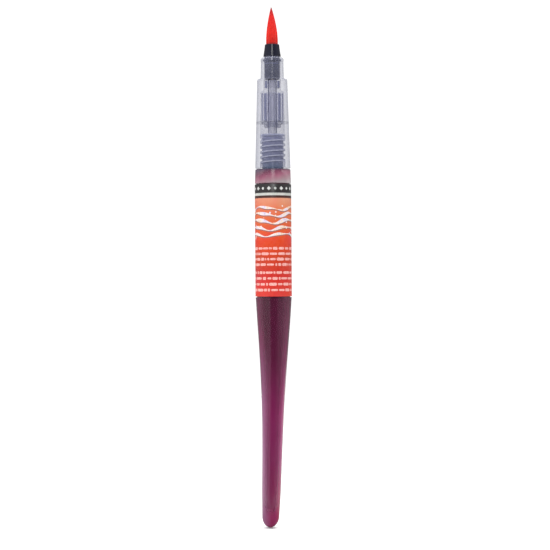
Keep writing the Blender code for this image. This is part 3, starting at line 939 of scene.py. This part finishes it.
def tube_plastic():
    """The feed tube: a bore painted near white as a highlight down its middle, seen through a clear wall that
    is dark side on.
    """
    shade = Shade("tube_smoky")
    grain = shade.noise(0.5, stretch=(1.0, 1.0, 0.3))
    wall = shade.outside(TUBE_SKIN * MM)
    # painted highlight: the bore inside the wall is near white and mostly solid
    shade.paint(shade.blend(wall, "fbfcff", "50567e"), 0.2, shade.noise(3.0), 0.03)
    bore = shade.times(shade.maths("SUBTRACT", 1.0, wall), 0.8)
    return shade.open_up((0.98, 0.98, 0.99), 0.05, 0.9, 1.0, grain, bore, (0.25, 0.5), TUBE_SKIN * MM)


def smoky(name, dark, light, haze, edge, walls, skin):
    """The clear plastic of the inner parts: almost unseen face on, and smoky side on."""
    return clear(name, dark, light, (0.97, 0.97, 0.985), haze, edge, 1.0, walls=walls, skin=skin)


def sleeves_and_tube():
    """The regulator's two sleeves, the bushing and the feed tube, seen through the grip."""
    thin = smoky("sleeve_thin_smoky", "7a80a6", "9297ba", 0.03, 0.75, (0.52, 0.64), 3.25)
    thick = smoky("sleeve_smoky", "7a80a6", "9297ba", 0.05, 0.8, (0.27, 0.36), 2.2)
    bush = smoky("bush_smoky", "6a7096", "8489ac", 0.06, 0.85, (0.24, 0.33), 2.0)
    sleeve("outer_sleeve", "regulator_cup", 3.1, 0.08, thin)
    sleeve("inner_sleeve", "regulator_core", 1.9, 0.12, thick)
    sleeve("centring_bush", "tube_bushing", 1.65, 0.12, bush)
    sleeve("ink_tube", "feed_tube", 0.8, 0.1, tube_plastic())


def fibre_wick():
    """The fibre wick in the feed tube, with its ends bevelled."""
    low, high = heights("feed_wick")
    radius = 0.5
    bevel = 0.15
    outline = [(0.0, low), (radius - bevel, low), (radius, low + bevel)]
    outline += [(radius, high - bevel), (radius - bevel, high), (0.0, high)]
    shade = Shade("wick_fibre")
    grain = shade.noise(7.0, stretch=(1.0, 1.0, 0.12))
    material = shade.paint(shade.blend(grain, "8a5468", "c09aa6"), 0.85, grain, 0.4)
    wick = turned("wick", outline, [material], closed=False, segments=24)
    place(wick, "section", "wick_fibre", "feed_wick")


# ---------------------------------------------------------------- brush


def collar():
    """The glossy black cone, its stem and the ring that holds it in the nozzle."""
    low, high = heights("tuft_collar")
    flare_low = NOZZLE_TOP + GAP
    ring_low, ring_high = GROOVE_LOW + STEM_RING_INSET, GROOVE_HIGH - STEM_RING_INSET
    corners = [
        (STEM_RADIUS, low, 0.1), (STEM_RADIUS, ring_low, 0.05),
        (STEM_RING_RADIUS, ring_low, 0.08), (STEM_RING_RADIUS, ring_high, 0.08),
        (STEM_RADIUS, ring_high, 0.05), (STEM_RADIUS, flare_low, 0.05),
    ]
    steps = 14
    for step in range(steps + 1):
        rise = step / steps
        spread = (FLARE_RADIUS - MOUTH_RADIUS) * (1 - rise) ** 1.2
        fillet = 0.08 if step in (0, steps) else 0
        corners.append((MOUTH_RADIUS + spread, flare_low + (high - flare_low) * rise, fillet))
    corners += [(COLLAR_BORE, high, 0.08), (COLLAR_BORE, low, 0.08)]
    shade = Shade("collar_black_gloss")
    grain = shade.noise(1.6)
    colour = shade.blend(shade.noise(0.5), "090b1a", "15172a")
    shade.set("Specular IOR Level", 0.25)
    cone = shade.paint(colour, 0.17, grain, 0.05)
    piece = turned(
        "collar", rounded(corners), [cone, stem_plastic()],
        slot_of=lambda height: 1 if height < flare_low - 0.02 else 0,
    )
    place(piece, "section", "black_plastic", "tuft_collar")


def stem_plastic():
    """The collar's stem: blue-black and shiny, with its ring paler."""
    shade = Shade("collar_stem_satin")
    grain = shade.noise(1.6)
    stops = [(0.0, "161b3a"), (0.66, "1a1f40"), (0.7, "6c729c"), (0.74, "1a1f40"), (1.0, "20254a")]
    ring = shade.ramp(shade.by_height(CAP_SEAT, NOZZLE_TOP), stops)
    shade.set("Specular IOR Level", 1.0)
    return shade.paint(shade.blend(shade.times(grain, 0.25), ring, "343858"), 0.2, grain, 0.03)


def tuft_radius(height):
    """The tuft's radius at a height: full at the collar, pinched to the tip."""
    rise = max(0.0, (height - TUFT_PINCH) / (TIP - TUFT_PINCH))
    return TUFT_TIP_RADIUS + (TUFT_RADIUS - TUFT_TIP_RADIUS) * (1 - rise**TUFT_FULLNESS)


def tuft_point(radius, angle, height):
    """A point in the tuft, with its slight lean to one side."""
    rise = max(0.0, (height - COLLAR_TOP) / (TIP - COLLAR_TOP))
    x, y, z = straight(radius, angle, height)
    return x - TUFT_LEAN * rise**2, y, z


def blend_tuft(piece):
    """Store each vertex's rise from the collar to the tip, and fix the piece's place into its mesh."""
    mark(piece, "rise", (places(piece)[2] - COLLAR_TOP) / (TIP - COLLAR_TOP))
    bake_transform(piece)


def tuft_core(material):
    """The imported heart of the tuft, just under its outer filaments."""
    count = 40
    outline = [(0.0, TUFT_FOOT)]
    top = TIP - 0.4
    for row in range(count + 1):
        height = TUFT_FOOT + (top - TUFT_FOOT) * row / count
        radius = min(tuft_radius(height), ROOT_CORE_RADIUS if height < COLLAR_TOP else TUFT_RADIUS)
        outline.append((max(0.02, radius - CORE_INSET), height))
    outline.append((0.0, top))
    core = turned("tuft_core", outline, [material], closed=False, shape=tuft_point, segments=64)
    mark(core, "strand", np.full(len(core.data.vertices), 0.9))
    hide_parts("bristle_tuft")
    blend_tuft(core)


def filament(mesh_data, layer, draw, angle, depth):
    """One tapered filament from inside the collar to near the tip."""
    rings = 16
    sides = 5
    thickness = draw.uniform(0.055, 0.085)
    top = TIP - 0.02 - abs(draw.gauss(0.0, 0.35)) * (1 + depth)
    twist = draw.uniform(-0.12, 0.12)
    tint = draw.random()
    previous = None
    for ring in range(rings + 1):
        share = (ring / rings) ** 0.85
        height = TUFT_FOOT + (top - TUFT_FOOT) * share
        body = tuft_radius(height)
        if height <= COLLAR_TOP:
            body = min(body, ROOT_FILAMENT_RADIUS)
        fine = thickness * (1 - 0.72 * share)
        radius = max(0.0, (body - fine) * (1 - 0.12 * depth))
        bearing = angle + twist * share
        centre = Vector(tuft_point(radius, bearing, height))
        out = Vector((math.cos(bearing), math.sin(bearing), 0.0))
        across = Vector((-out.y, out.x, 0.0))
        verts = []
        for side in range(sides):
            turn = math.tau * side / sides
            vert = mesh_data.verts.new(centre + (out * math.cos(turn) + across * math.sin(turn)) * fine)
            vert[layer] = tint
            verts.append(vert)
        if previous is None:
            mesh_data.faces.new(verts)
        else:
            for side in range(sides):
                other = (side + 1) % sides
                mesh_data.faces.new((previous[side], previous[other], verts[other], verts[side]))
        previous = verts
    mesh_data.faces.new(previous)


def tuft_filaments(material):
    """Fine filaments laid side by side over the core, in two loose layers."""
    draw = random.Random(5)
    mesh_data = bmesh.new()
    layer = mesh_data.verts.layers.float.new("strand")
    for index in range(FILAMENTS):
        angle = math.tau * (index + draw.uniform(-0.5, 0.5)) / FILAMENTS
        filament(mesh_data, layer, draw, angle, index % 3 * 0.5)
    strands = finish("tuft_filaments", mesh_data, material)
    blend_tuft(strands)


def root_plug():
    """The fused root of the filaments, inside the collar."""
    radius = 1.5
    top = TUFT_FOOT - 0.1
    outline = [(0.0, ROOT_LOW), (radius - 0.1, ROOT_LOW), (radius, ROOT_LOW + 0.15)]
    outline += [(radius, top - 0.1), (radius - 0.1, top), (0.0, top)]
    material = moulded("filament_fused", "5c1418", "8a2428", 0.5, 3.0, 0.3)
    plug = turned("root_plug", outline, [material], closed=False, segments=48)
    place(plug, "section", "fused_filament", "tuft_root")


# ---------------------------------------------------------------- studio


def studio_world():
    """White for the eye, and for light a tall soft box each side with a gap in front."""
    world = bpy.data.worlds.new("studio")
    bpy.context.scene.world = world
    world.use_nodes = True
    tree = world.node_tree
    way = add_node(tree, "ShaderNodeTexCoord").outputs["Generated"]
    x, y, _ = add_node(tree, "ShaderNodeSeparateXYZ", {0: way}).outputs
    ahead = add_node(tree, "ShaderNodeMath", {0: y, 1: -1.0}, operation="MULTIPLY")
    bearing = add_node(tree, "ShaderNodeMath", {0: x, 1: ahead.outputs[0]}, operation="ARCTAN2")
    share = add_node(tree, "ShaderNodeMapRange", {0: bearing.outputs[0], 1: -math.pi, 2: math.pi})
    boxes = add_node(tree, "ShaderNodeValToRGB", {0: share.outputs[0]})
    levels = [
        (-180, 0.35), (-125, 0.45), (-90, 0.95), (-60, 1.1), (-25, 1.05), (-22, 0.14), (18, 0.16),
        (34, 0.62), (80, 0.85), (125, 0.45), (180, 0.35),
    ]
    fill_ramp(boxes, [
        ((degrees + 180) / 360, (level, level, level * 1.02, 1.0)) for degrees, level in levels
    ])
    light = tree.nodes["Background"]
    tree.links.new(boxes.outputs[0], light.inputs[0])
    seen = add_node(tree, "ShaderNodeBackground", {0: (1.0, 1.0, 1.0, 1.0), 1: 1.1})
    to_eye = add_node(tree, "ShaderNodeLightPath").outputs["Is Camera Ray"]
    mix = add_node(tree, "ShaderNodeMixShader", {0: to_eye, 1: light.outputs[0], 2: seen.outputs[0]})
    tree.links.new(mix.outputs[0], tree.nodes["World Output"].inputs[0])


def lamp(name, shape, size, energy, location):
    """An area light, which shines straight down until it is turned."""
    data = bpy.data.lights.new(name, "AREA")
    data.shape = shape
    data.size = size
    data.energy = energy
    made = bpy.data.objects.new(name, data)
    made.location = location
    bpy.context.scene.collection.objects.link(made)
    return made


def lamps():
    """A broad one above keeps the floor white. A small one in front puts a streak on the collar."""
    lamp("overhead", "DISK", 1.6, 20.0, (0.0, 0.0, 1.2))
    front = lamp("front", "RECTANGLE", 0.2, 1.3, (0.0, -0.5, 0.29))
    front.data.size_y = 0.26
    front.rotation_euler = (math.radians(72.0), 0.0, 0.0)
    front.visible_camera = False


def floor():
    """A plain pale floor under the tail's end, set back so that the tail doesn't mirror it."""
    radius, set_back, drop = 300.0, 260.0, 0.2
    mesh_data = bmesh.new()
    bmesh.ops.create_circle(mesh_data, cap_ends=True, segments=SEGMENTS, radius=radius)
    bmesh.ops.translate(mesh_data, vec=(0.0, set_back, -drop), verts=mesh_data.verts)
    finish("floor", mesh_data, moulded("floor_white", "f4f4f4", "fafafa", 0.8))


def camera():
    """Level with the middle of the pen, a little rolled, at the length of a portrait lens."""
    data = bpy.data.cameras.new("camera")
    data.lens = 105.0
    data.sensor_width = 36.0
    data.clip_start = 0.01
    data.clip_end = 20.0
    side, back, drop = 0.00045, 0.5013, 0.0024
    roll = 0.39
    low, high = cad_box
    eye = bpy.data.objects.new("camera", data)
    eye.location = (side, -back, (low.z + high.z) / 2 - drop)
    eye.rotation_euler = (math.radians(90.0), math.radians(roll), 0.0)
    bpy.context.scene.collection.objects.link(eye)
    bpy.context.scene.camera = eye


def build():
    """Every piece, and then the studio round it."""
    barrel_shell()
    ink_body()
    neck_plug()
    label_sleeve()
    band_ornament()
    painted_waves()
    fine_rows()
    section_shell()
    seal_washer()
    sleeves_and_tube()
    regulator_disc()
    fibre_wick()
    collar()
    red = filament_material()
    tuft_core(red)
    tuft_filaments(red)
    root_plug()
    studio_world()
    lamps()
    floor()
    camera()
    bpy.context.scene.view_settings.view_transform = "Standard"
    bpy.context.scene.cycles.transparent_max_bounces = 48


build()
